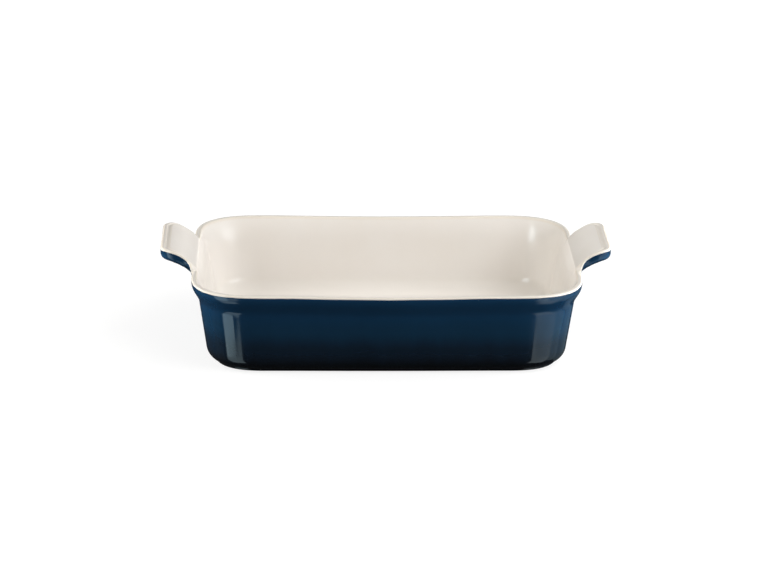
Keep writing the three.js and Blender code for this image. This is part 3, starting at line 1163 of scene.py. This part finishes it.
@dataclass(frozen=True)
class Finish:
    """A finish of one of the dish's pieces.

    Attributes:
        name: Name of its material.
        roughness: Least and most roughness.
        bump: Height of its unevenness, in metres.
        bump_strength: Share of that height that shows.
        speckling: How strongly its specks show.
    """

    name: str = "finish"
    roughness: Ends = (0.1, 0.2)
    bump: float = 0.0
    bump_strength: float = 1.0
    speckling: float = 0.5

    def layers(self, graph: Graph, shop: GlazeShop) -> Sockets:
        """Makes what varies over the surface.

        Args:
            graph: The material's tree.
            shop: Shared node groups.

        Returns:
            The sockets Colour, Gloss, which is a noise, and Height.
        """
        raise NotImplementedError

    def material(self, shop: GlazeShop) -> bpy.types.Material:
        """Makes the material.

        Args:
            shop: Shared node groups.

        Returns:
            The material.
        """
        material, graph, shader = new_material(self.name)
        layers = self.layers(graph, shop)
        gloss = graph.scaled(layers["Gloss"], *NOISE_RANGE, self.roughness)
        relief = {"Strength": self.bump_strength, "Distance": self.bump, "Height": layers["Height"]}
        bump = graph.node("ShaderNodeBump", relief)
        graph.tree.links.new(layers["Colour"], shader.inputs["Base Color"])
        graph.tree.links.new(gloss, shader.inputs["Roughness"])
        graph.tree.links.new(bump.outputs[0], shader.inputs["Normal"])
        return material


@dataclass(frozen=True)
class CreamGlaze(Finish):
    """Glossy warm cream glaze of the inside, the rim and the handle tops.

    Attributes:
        colour: Main tone.
        warm: Tone that it drifts to.
        pooled: Tone in hollows.
        thin: Tone over outer edges.
        speck: Tone of its specks.
        pooling: How strongly the tone in hollows shows.
        thinning: How strongly the tone over edges shows.
    """

    name: str = "cream_glaze"
    roughness: Ends = (0.12, 0.15)
    bump: float = 0.00004
    colour: Colour = linear(236, 231, 225)
    warm: Colour = linear(234, 228, 221)
    pooled: Colour = linear(230, 223, 212)
    thin: Colour = linear(230, 222, 209)
    speck: Colour = linear(196, 182, 160)
    pooling: float = 0.7
    thinning: float = 0.8

    def layers(self, graph: Graph, shop: GlazeShop) -> Sockets:
        """Makes the drift of tone, the pools, the thin edges and the specks.

        Args:
            graph: The material's tree.
            shop: Shared node groups.

        Returns:
            The sockets Colour, Gloss and Height.
        """
        skin, breaks = shop.skin.put(graph, Speck_size=0.05), shop.breaks.put(graph)
        colour = graph.blend(graph.scaled(skin["Tone"], *NOISE_RANGE, FULL), self.colour, self.warm)
        colour = graph.blend(graph.times(breaks["Pool"], self.pooling), colour, self.pooled)
        colour = graph.blend(graph.times(breaks["Thin"], self.thinning), colour, self.thin)
        colour = graph.blend(graph.times(skin["Specks"], self.speckling), colour, self.speck)
        return {"Colour": colour, "Gloss": skin["Flow"], "Height": skin["Height"]}


@dataclass(frozen=True)
class BlueGlaze(Finish):
    """Glossy dark blue glaze of the outside, which darkens to blue-black at the foot: partly the glaze's own
    ombré, partly painted shade of the lower wall near the table.

    Attributes:
        rim: Tone at the rim's height and above.
        waist: Tone at the waist's height.
        skirt: Tone at the skirt's height, darkened partly by painted shade.
        foot: Tone at the foot's height and below, darkened partly by painted shade.
        thin: Tone over outer edges.
        speck: Tone of its specks.
        rim_height: Height of the rim's tone, in metres.
        waist_height: Height of the waist's tone.
        skirt_height: Height of the skirt's tone.
        foot_height: Height of the foot's tone.
        run: How far the tones run up and down.
        thinning: How strongly the tone over edges shows above the waist.
        shading: How strongly the slow tone darkens the glaze.
    """

    name: str = "blue_glaze"
    roughness: Ends = (0.07, 0.12)
    bump: float = 0.00003
    rim: Colour = linear(19, 52, 80)
    waist: Colour = linear(19, 49, 73)
    skirt: Colour = linear(18, 32, 46)
    foot: Colour = linear(15, 19, 24)
    thin: Colour = linear(44, 84, 118)
    speck: Colour = linear(14, 26, 40)
    rim_height: float = 0.058
    waist_height: float = 0.044
    skirt_height: float = 0.023
    foot_height: float = 0.007
    run: float = 0.010
    thinning: float = 0.45
    shading: float = 0.12

    def layers(self, graph: Graph, shop: GlazeShop) -> Sockets:
        """Makes the tones by height, the thin edges, the specks and the slow shade.

        Args:
            graph: The material's tree.
            shop: Shared node groups.

        Returns:
            The sockets Colour, Gloss and Height.
        """
        skin, breaks = shop.skin.put(graph, Speck_size=0.06), shop.breaks.put(graph)
        height = graph.node("ShaderNodeSeparateXYZ", {0: graph.place()}).outputs["Z"]
        run = graph.times(graph.maths(skin["Flow"], 0.5, "SUBTRACT"), self.run)
        level = graph.maths(height, run)
        # The tones darken downwards: the glaze's own ombré, with painted shade of the lower wall near the
        # table added to it.
        tones = (
            (self.foot_height, self.skirt_height, self.skirt),
            (self.skirt_height, self.waist_height, self.waist),
            (self.waist_height, self.rim_height, self.rim),
        )
        colour = self.foot
        for low, high, tone in tones:
            colour = graph.blend(graph.scaled(level, low, high, FULL), colour, tone)
        thinned = graph.scaled(height, self.foot_height, self.waist_height, (0.0, self.thinning))
        colour = graph.blend(graph.times(breaks["Thin"], thinned), colour, self.thin)
        colour = graph.blend(graph.times(skin["Specks"], self.speckling), colour, self.speck)
        shade = graph.scaled(skin["Tone"], *NOISE_RANGE, (0.0, self.shading))
        colour = graph.blend(shade, colour, BLACK)
        return {"Colour": colour, "Gloss": skin["Flow"], "Height": skin["Height"]}


@dataclass(frozen=True)
class BaseGlaze(Finish):
    """Satin blue-black glaze of the panel inside the foot ring.

    Attributes:
        colour: Main tone.
        light: Tone that it drifts to.
        speck: Tone of its specks.
        drift: Values of the slow tone at which the drift starts and ends.
    """

    name: str = "base_glaze"
    roughness: Ends = (0.22, 0.36)
    bump: float = 0.00008
    colour: Colour = linear(22, 30, 42)
    light: Colour = linear(34, 46, 62)
    speck: Colour = linear(52, 60, 70)
    drift: Ends = (0.35, 0.7)

    def layers(self, graph: Graph, shop: GlazeShop) -> Sockets:
        """Makes the drift of tone and the specks.

        Args:
            graph: The material's tree.
            shop: Shared node groups.

        Returns:
            The sockets Colour, Gloss and Height.
        """
        skin = shop.skin.put(graph, Tone_scale=22.0, Speck_size=0.08, Peel=0.6)
        colour = graph.blend(graph.scaled(skin["Tone"], *self.drift, FULL), self.colour, self.light)
        colour = graph.blend(graph.times(skin["Specks"], self.speckling), colour, self.speck)
        return {"Colour": colour, "Gloss": skin["Tone"], "Height": skin["Height"]}


@dataclass(frozen=True)
class BareClay(Finish):
    """Fired bare stoneware of the foot ring's land: pale, matt and gritty.

    Attributes:
        colour: Main tone.
        dark: Tone that it drifts to.
        grit: Tone of the grit.
        grain_scale: Grains per metre.
    """

    name: str = "bare_stoneware"
    roughness: Ends = (0.78, 0.92)
    bump: float = 0.00015
    bump_strength: float = 0.8
    speckling: float = 0.7
    colour: Colour = linear(205, 188, 160)
    dark: Colour = linear(178, 158, 130)
    grit: Colour = linear(142, 120, 94)
    grain_scale: float = 900.0

    def layers(self, graph: Graph, shop: GlazeShop) -> Sockets:
        """Makes the drift of tone, the grit and the grain.

        Args:
            graph: The material's tree.
            shop: Shared node groups.

        Returns:
            The sockets Colour, Gloss and Height.
        """
        skin = shop.skin.put(graph, Tone_scale=40.0, Speck_scale=520.0, Speck_size=0.16)
        grain = graph.noise(graph.place(), self.grain_scale, detail=5.0)
        colour = graph.blend(graph.scaled(skin["Tone"], *NOISE_RANGE, FULL), self.colour, self.dark)
        colour = graph.blend(graph.times(skin["Specks"], self.speckling), colour, self.grit)
        return {"Colour": colour, "Gloss": grain, "Height": graph.maths(grain, skin["Specks"])}


@dataclass
class Skin:
    """Closed surface of a piece, as rings of points.

    Attributes:
        rows: Points by section, ring and axis, in metres.
        bends: Bend of the surface by section and ring.
        poles: True where the first and the last ring are one point each, False where the last ring meets
            the first.
    """

    rows: np.ndarray
    bends: np.ndarray
    poles: bool

    def faces(self) -> list[tuple[int, ...]]:
        """Facets between neighbouring sections and rings.

        Returns:
            The facets by the points' numbers.
        """
        sections, rings = self.rows.shape[:2]
        last = rings - 1
        found = []
        for j in range(sections):
            near, far = j * rings, (j + 1) % sections * rings
            for i in range(last if self.poles else rings):
                after = (i + 1) % rings
                corners = (near + i, near + after, far + after, far + i)
                if self.poles and i == 0:
                    corners = (0, near + 1, far + 1)
                elif self.poles and after == last:
                    corners = (near + i, last, far + i)
                found.append(corners)
        return found

    def piece(self, name: str, material: bpy.types.Material) -> bpy.types.Object:
        """Makes the piece's object.

        Args:
            name: Name of the piece.
            material: Its finish.

        Returns:
            The object, with smooth shading.
        """
        points, bends, faces = self.rows.reshape(-1, 3), self.bends.reshape(-1), self.faces()
        used = np.zeros(len(points), dtype=bool)
        for face in faces:
            used[list(face)] = True
        numbers = np.cumsum(used) - 1
        mesh = bpy.data.meshes.new(name)
        kept = [tuple(int(numbers[corner]) for corner in face) for face in faces]
        mesh.from_pydata(points[used].tolist(), [], kept)
        mesh.attributes.new(BEND, "FLOAT", "POINT").data.foreach_set("value", bends[used])
        mesh.shade_smooth()
        mesh.materials.append(material)
        piece = bpy.data.objects.new(name, mesh)
        bpy.context.scene.collection.objects.link(piece)
        return piece


@dataclass
class BakingDish:
    """The dish: its clay and its glaze coats.

    Attributes:
        form: The glazed form.
        cream: Finish of the inside.
        blue: Finish of the outside.
        base: Finish of the base's panel.
        clay: Finish of the bare clay.
    """

    form: DishForm = field(default_factory=DishForm)
    cream: CreamGlaze = field(default_factory=CreamGlaze)
    blue: BlueGlaze = field(default_factory=BlueGlaze)
    base: BaseGlaze = field(default_factory=BaseGlaze)
    clay: BareClay = field(default_factory=BareClay)

    def build(self, shop: GlazeShop) -> list[bpy.types.Object]:
        """Builds and dresses the clay and the coats.

        Args:
            shop: Shared node groups.

        Returns:
            The pieces.
        """
        grid = self.form.grid()
        clay, bends = grid.clay(), grid.bends()
        coats = {
            Part.CREAM: (self.cream, 0, grid.cream_end),
            Part.BLUE: (self.blue, grid.cream_end, grid.blue_end),
            Part.BASE: (self.base, grid.base_start, grid.last),
        }
        pieces = [self.dressed(Part.CLAY, Skin(clay, bends, True), self.clay.material(shop))]
        for part, (finish, first, last) in coats.items():
            skin = self.coat(grid, clay, bends, first, last)
            pieces.append(self.dressed(part, skin, finish.material(shop)))
        return pieces

    @staticmethod
    def dressed(part: Part, skin: Skin, material: bpy.types.Material) -> bpy.types.Object:
        """Makes a piece in the place of its CAD node.

        Args:
            part: Which piece.
            skin: Its surface.
            material: Its finish.

        Returns:
            The piece.
        """
        piece = skin.piece(part.piece, material)
        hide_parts(part.node)
        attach(piece, BODY)
        return piece

    @staticmethod
    def coat(grid: GlazeGrid, clay: np.ndarray, bends: np.ndarray, first: int, last: int) -> Skin:
        """Closed skin of a glaze coat: its face, its butt edges and its back, which lies on the clay.

        Args:
            grid: The glazed surface.
            clay: Points of the clay.
            bends: Bend of the surface at every point.
            first: Ring at which the coat starts.
            last: Ring at which the coat ends.

        Returns:
            The skin.
        """
        rings = slice(first, last + 1)
        face, face_bends = grid.points[:, rings], bends[:, rings]
        back, back_bends = clay[:, rings][:, ::-1], face_bends[:, ::-1]
        if last == grid.last:
            rows, values = (back, face), (back_bends, face_bends)
        else:
            rows, values = (face, back), (face_bends, back_bends)
        poles = first == 0 or last == grid.last
        return Skin(np.concatenate(rows, axis=1), np.concatenate(values, axis=1), poles)


class Role(Enum):
    """What of a studio light reaches the dish: its image in the glaze alone, or its light alone."""

    CARD = "card"
    FILL = "fill"


@dataclass(frozen=True)
class Softbox:
    """A rectangular studio lamp or reflector card that faces the dish.

    Attributes:
        name: Name of the lamp.
        role: What of it reaches the dish.
        azimuth: Degrees round the dish, 0 in front and 90 at the right.
        distance: Level distance from the dish, in metres.
        height: Height of its middle above the table.
        size: Width and height.
        radiance: Brightness, 1 is white.
        tint: Colour of its light.
        tilted: True where it turns down to face the dish, False where it stands upright.
        aim_height: Height that a tilted one faces.
    """

    name: str
    role: Role
    azimuth: float
    distance: float
    height: float
    size: tuple[float, float]
    radiance: float
    tint: Colour = WHITE
    tilted: bool = False
    aim_height: float = 0.05

    def build(self) -> None:
        """Makes the lamp."""
        lamp = bpy.data.lights.new(self.name, "AREA")
        lamp.shape = "RECTANGLE"
        lamp.size, lamp.size_y = self.size
        lamp.energy = self.radiance * math.pi * self.size[0] * self.size[1]
        lamp.color = self.tint
        turn = math.radians(self.azimuth)
        spot = Vector((math.sin(turn) * self.distance, -math.cos(turn) * self.distance, self.height))
        aim = Vector((0.0, 0.0, self.aim_height if self.tilted else self.height))
        facing = (aim - spot).to_track_quat("-Z", "Y").to_matrix().to_4x4()
        holder = bpy.data.objects.new(self.name, lamp)
        holder.matrix_world = Matrix.Translation(spot) @ facing
        holder.visible_camera = False
        holder.visible_diffuse = self.role is Role.FILL
        holder.visible_glossy = self.role is Role.CARD
        bpy.context.scene.collection.objects.link(holder)


@dataclass(frozen=True)
class StudioFloor:
    """Pale floor that looks white and keeps the dish's shadow.

    Attributes:
        half: Half the floor's side, in metres.
        colour: Its colour.
        mottle_scale: Its faint patches per metre.
        mottle: Share of the colour that the darker patches keep.
        roughness: Its roughness.
        glow: Light that makes it white to the eye, near the dish.
        far_glow: The same away from the lamps.
        near: Distance from the dish at which the far light starts to take over.
        far: Distance at which it has taken over.
    """

    half: float = 6.0
    colour: Colour = (0.25, 0.25, 0.25)
    mottle_scale: float = 3.0
    mottle: float = 0.985
    roughness: float = 0.9
    glow: float = 0.8
    far_glow: float = 1.0
    near: float = 0.35
    far: float = 1.1

    def material(self) -> bpy.types.Material:
        """Makes the finish, which glows towards the camera, mirrors and glass, and lights nothing else.

        Returns:
            The material.
        """
        material, graph, shader = new_material("studio_floor")
        place = graph.place()
        patches = graph.scaled(graph.noise(place, self.mottle_scale, detail=2.0), *NOISE_RANGE, FULL)
        shade = tuple(channel * self.mottle for channel in self.colour)
        graph.tree.links.new(graph.blend(patches, self.colour, shade), shader.inputs["Base Color"])
        shader.inputs["Roughness"].default_value = self.roughness
        shader.inputs["Specular IOR Level"].default_value = 0.0
        path = graph.node("ShaderNodeLightPath")
        seen = graph.maths(path.outputs["Is Camera Ray"], path.outputs["Is Glossy Ray"], "MAXIMUM")
        seen = graph.maths(seen, path.outputs["Is Transmission Ray"], "MAXIMUM")
        away = graph.node("ShaderNodeVectorMath", {0: place}, operation="LENGTH").outputs["Value"]
        white = graph.scaled(away, self.near, self.far, (self.glow, self.far_glow))
        shader.inputs["Emission Color"].default_value = (*WHITE, 1.0)
        graph.tree.links.new(graph.times(seen, white), shader.inputs["Emission Strength"])
        return material

    def build(self) -> None:
        """Builds the floor, which the glaze doesn't mirror."""
        half = self.half
        mesh = bpy.data.meshes.new("studio_floor")
        corners = [(-half, -half, 0.0), (half, -half, 0.0), (half, half, 0.0), (-half, half, 0.0)]
        mesh.from_pydata(corners, [], [(0, 1, 2, 3)])
        mesh.materials.append(self.material())
        floor = bpy.data.objects.new("studio_floor", mesh)
        floor.visible_glossy = False
        bpy.context.scene.collection.objects.link(floor)


@dataclass(frozen=True)
class StudioCamera:
    """Camera that stands where the dish shows as in the picture.

    Attributes:
        distance: Camera to the middle of the rim, in metres.
        elevation: Degrees of the camera above the rim.
        turn: Turn of the dish to the camera, in radians.
        roll: Roll of the camera, in radians.
        focal: Focal length in pixels of the picture.
        centre: Pixel at which the middle of the rim shows.
        picture: Width and height of the picture, in pixels.
        aim_height: Height of the middle of the rim.
        sensor: Width of the sensor, in millimetres.
        clip: Nearest and furthest distance that shows.
    """

    distance: float = 3.0
    elevation: float = 17.78
    turn: float = 0.031
    roll: float = 0.0099
    focal: float = 3180.0
    centre: tuple[float, float] = (385.0, 252.93)
    picture: tuple[int, int] = (768, 576)
    aim_height: float = 0.081
    sensor: float = 36.0
    clip: Ends = (0.1, 30.0)

    def build(self) -> None:
        """Builds the camera and makes it the scene's own."""
        rise = math.radians(self.elevation)
        level = math.cos(rise)
        back = Vector((-math.sin(self.turn) * level, -math.cos(self.turn) * level, math.sin(rise)))
        right = Vector((math.cos(self.turn), -math.sin(self.turn), 0.0))
        up = back.cross(right)
        across = (self.picture[0] / 2 - self.centre[0]) / self.focal
        down = (self.picture[1] / 2 - self.centre[1]) / self.focal
        side = across * math.cos(self.roll) + down * math.sin(self.roll)
        drop = down * math.cos(self.roll) - across * math.sin(self.roll)
        look = (right * side - up * drop - back).normalized()
        tilted_right = (right - look * right.dot(look)).normalized()
        tilted_up = tilted_right.cross(look)
        axes = Matrix((tilted_right, tilted_up, -look)).transposed().to_4x4()
        data = bpy.data.cameras.new("studio_camera")
        data.sensor_width = self.sensor
        data.lens = self.focal / self.picture[0] * self.sensor
        data.clip_start, data.clip_end = self.clip
        camera = bpy.data.objects.new("studio_camera", data)
        spot = Vector((0.0, 0.0, self.aim_height)) + back * self.distance
        camera.matrix_world = Matrix.Translation(spot) @ axes @ Matrix.Rotation(self.roll, 4, "Z")
        bpy.context.scene.collection.objects.link(camera)
        bpy.context.scene.camera = camera


@dataclass(frozen=True)
class Studio:
    """Floor, light and camera.

    Attributes:
        floor: Pale floor.
        camera: Camera at the picture's viewing angle.
        sky: Even dim light of the room.
        fills: Lamps that light the dish.
        cards: Cards that the glaze mirrors.
    """

    floor: StudioFloor = field(default_factory=StudioFloor)
    camera: StudioCamera = field(default_factory=StudioCamera)
    sky: float = 0.02
    fills: tuple[Softbox, ...] = (
        Softbox("top_softbox", Role.FILL, 90.0, 0.1, 1.6, (1.2, 1.0), 0.4, WARM, True),
        Softbox("right_high_softbox", Role.FILL, 78.0, 1.15, 1.25, (1.8, 1.6), 2.5, (0.99, 0.99, 0.99), True),
        Softbox("right_softbox", Role.FILL, 50.0, 1.45, 0.85, (1.4, 1.2), 1.95, (0.985, 0.995, 1.0), True),
        Softbox("left_softbox", Role.FILL, -64.0, 1.25, 0.85, (1.4, 1.2), 1.45, (1.0, 0.985, 0.95), True),
        Softbox("left_side_softbox", Role.FILL, -90.0, 1.45, 0.75, (1.4, 1.1), 2.15, (1.0, 0.98, 0.93), True),
        Softbox("left_low_light", Role.FILL, -103.0, 0.9, 0.06, (1.5, 0.12), 22.0),
        Softbox("right_low_light", Role.FILL, 103.0, 0.9, 0.06, (1.5, 0.12), 33.0),
    )
    cards: tuple[Softbox, ...] = (
        Softbox("left_window", Role.CARD, -51.0, 1.3, 0.53, (0.37, 0.9), 2.7, WARM),
        Softbox("right_window", Role.CARD, 66.0, 1.3, 0.5, (0.9, 0.75), 2.2, (0.97, 0.985, 1.0)),
        Softbox("left_strip", Role.CARD, -53.0, 1.3, 0.1, (0.55, 1.8), 2.4, (0.66, 0.91, 1.0)),
        Softbox("left_low_strip", Role.CARD, -48.0, 1.3, -1.35, (0.85, 1.1), 1.3, (0.7, 0.92, 1.0)),
        Softbox("left_rim_strip", Role.CARD, -33.0, 1.3, -0.375, (0.45, 0.45), 1.1, COOL),
        Softbox("left_edge_strip", Role.CARD, -88.0, 1.3, -0.1, (0.6, 2.2), 0.05, COOL),
        Softbox("left_back_strip", Role.CARD, -122.0, 1.3, -0.1, (1.0, 2.2), 0.01, COOL),
        Softbox("right_strip", Role.CARD, 55.0, 1.3, 0.1, (0.98, 1.8), 0.9, COOL),
        Softbox("right_low_strip", Role.CARD, 53.0, 1.3, -1.35, (1.0, 1.1), 1.15, (0.78, 0.93, 1.0)),
        Softbox("right_rim_strip", Role.CARD, 33.0, 1.3, -0.42, (0.4, 0.6), 1.3, COOL),
        Softbox("right_edge_strip", Role.CARD, 88.0, 1.3, -0.1, (0.6, 2.2), 0.52, (0.68, 0.9, 1.0)),
        Softbox("right_back_strip", Role.CARD, 122.0, 1.3, -0.1, (1.0, 2.2), 0.22, (0.68, 0.9, 1.0)),
    )

    def build(self) -> None:
        """Builds the floor, the light and the camera."""
        self.floor.build()
        for lamp in self.fills + self.cards:
            lamp.build()
        world = bpy.data.worlds.new("studio_room")
        world.use_nodes = True
        background = world.node_tree.nodes["Background"]
        background.inputs["Color"].default_value = (*WHITE, 1.0)
        background.inputs["Strength"].default_value = self.sky
        bpy.context.scene.world = world
        bpy.context.scene.view_settings.view_transform = "Standard"
        self.camera.build()


def write_sizes() -> None:
    """Updates the view layer; it writes nothing.
    """
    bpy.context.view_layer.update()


def main() -> None:
    """Builds the dish and the studio."""
    logging.basicConfig(level=logging.INFO)
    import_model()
    for piece in BakingDish().build(GlazeShop()):
        LOG.info("%s: %d points", piece.name, len(piece.data.vertices))
    Studio().build()
    write_sizes()


if __name__ == "__main__":
    main()
